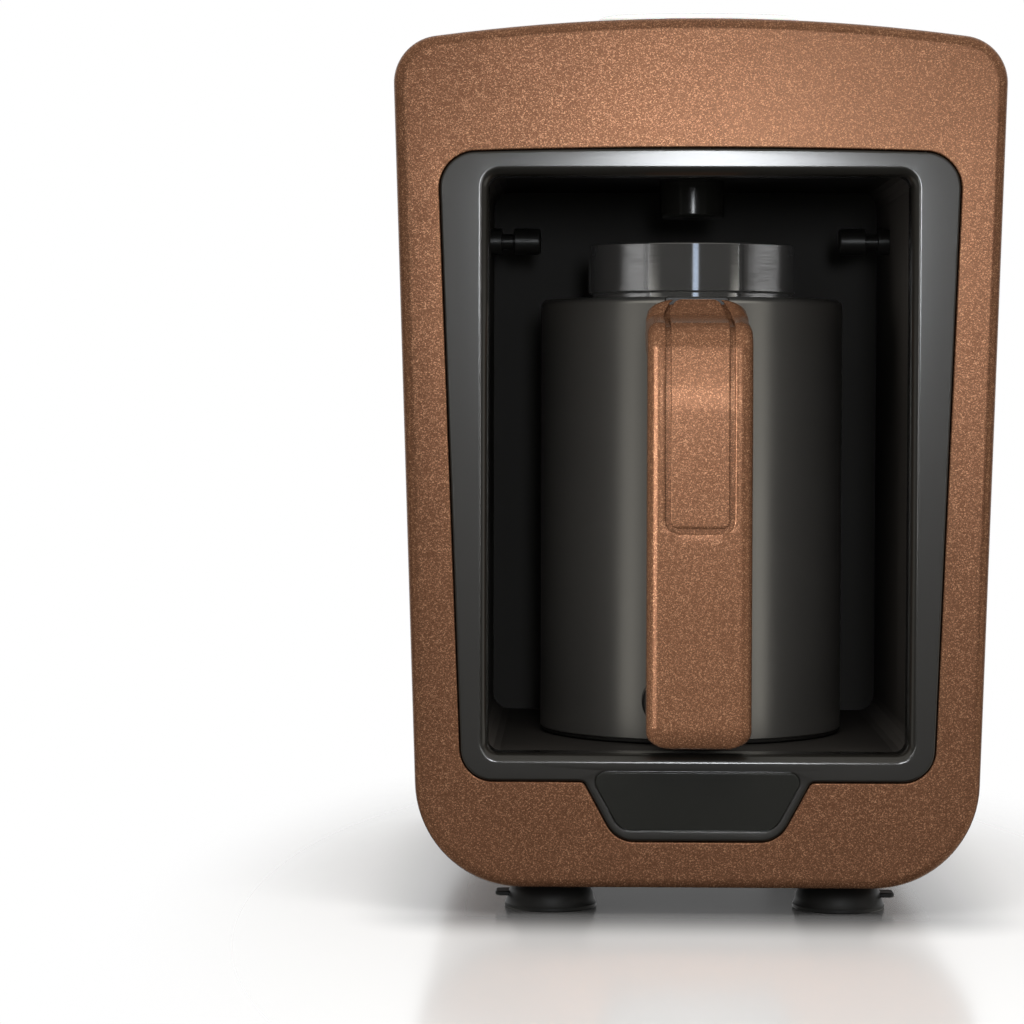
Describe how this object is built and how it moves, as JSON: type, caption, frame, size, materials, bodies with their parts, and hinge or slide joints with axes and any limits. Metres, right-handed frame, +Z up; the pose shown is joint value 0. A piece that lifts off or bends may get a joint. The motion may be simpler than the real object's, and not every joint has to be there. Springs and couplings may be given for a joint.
{
  "type": "electric turkish coffee maker",
  "caption": "Tapered tabletop coffee maker with an open front chamber, a slide-out steel jug on a heating base, a vertical brown handle and a round start button on top.",
  "frame": {"origin": "middle of the footprint of the whole object, on the surface that the feet stand on", "axes": "+Z up, front of the machine towards -Y, +X to the right as seen from the front"},
  "size_m": [0.1678, 0.2116, 0.2489],
  "materials": {
    "copper_paint": "satin copper-brown metallic paint with fine bright flakes",
    "black_plastic": "fine-grained black moulding",
    "bezel_satin": "satin graphite paint",
    "badge_black": "satin black, bare",
    "opal_plastic": "translucent opal",
    "satin_steel": "satin, very fine horizontal brushing",
    "polished_steel": "polished",
    "zinc_steel": "zinc plated",
    "contact_brass": "bright",
    "cast_aluminium": "as cast",
    "foot_rubber": "matte rubber",
    "silicone": "soft silicone",
    "lens_plastic": "dark red window",
    "board_green": "solder resist",
    "component_black": "moulded component",
    "component_blue": "moulded relay case",
    "component_yellow": "transformer tape",
    "component_green": "terminal moulding",
    "ceramic_white": "glazed",
    "wire_skin": "wire insulation"
  },
  "bodies": {
    "housing": {"outer_shell": "copper_paint", "rear_cover": "black_plastic", "base_plate": "black_plastic", "front_bezel": "bezel_satin", "badge_plate": "badge_black", "chamber_liner": "black_plastic", "chamber_hooks": "black_plastic", "sensor_housing": "black_plastic", "sensor_lens": "lens_plastic", "sensor_board": "board_green", "sensor_wires": "wire_skin", "dock_socket": "black_plastic", "dock_pins": "contact_brass", "dock_wires": "wire_skin", "light_ring": "opal_plastic", "button_guide": "black_plastic", "button_spring": "zinc_steel", "control_board": "board_green", "tact_switch": "component_black", "status_leds": "opal_plastic", "buzzer": "component_black", "controller_chip": "component_black", "ribbon_cable": "wire_skin", "power_board": "board_green", "relay": "component_blue", "transformer": "component_yellow", "capacitor": "component_black", "terminal_block": "component_green", "fuse_holder": "ceramic_white", "cable_gland": "foot_rubber", "cord_clamp": "black_plastic", "foot_front_left": "foot_rubber", "foot_front_right": "foot_rubber", "foot_rear_left": "foot_rubber", "foot_rear_right": "foot_rubber", "foot_screws": "zinc_steel", "base_screws": "zinc_steel", "cover_screws": "zinc_steel", "bezel_screws": "zinc_steel", "board_screws": "zinc_steel"},
    "button": {"start_button": "opal_plastic"},
    "jug": {"jug_body": "satin_steel", "jug_collar": "polished_steel", "jug_base": "black_plastic", "base_seal": "silicone", "heat_plate": "cast_aluminium", "heating_element": "zinc_steel", "jug_thermostat": "ceramic_white", "jug_connector": "black_plastic", "jug_contacts": "contact_brass", "handle_bracket": "zinc_steel", "handle_core": "black_plastic", "handle_shell": "copper_paint", "thumb_panel": "copper_paint", "handle_screws": "zinc_steel", "base_ring_screws": "zinc_steel"}
  },
  "joints": [
    {"name": "button_press", "type": "slide", "parent": "housing", "child": "button", "axis": [0, 0, -1], "range_m": [0, 0.0015], "stiffness_N_per_m": 800, "springref_m": -0.0015, "deforming": ["button_spring"]},
    {"name": "jug_slide_out", "type": "slide", "parent": "housing", "child": "jug", "axis": [0, -1, 0], "range_m": [0, 0.14]}
  ]
}
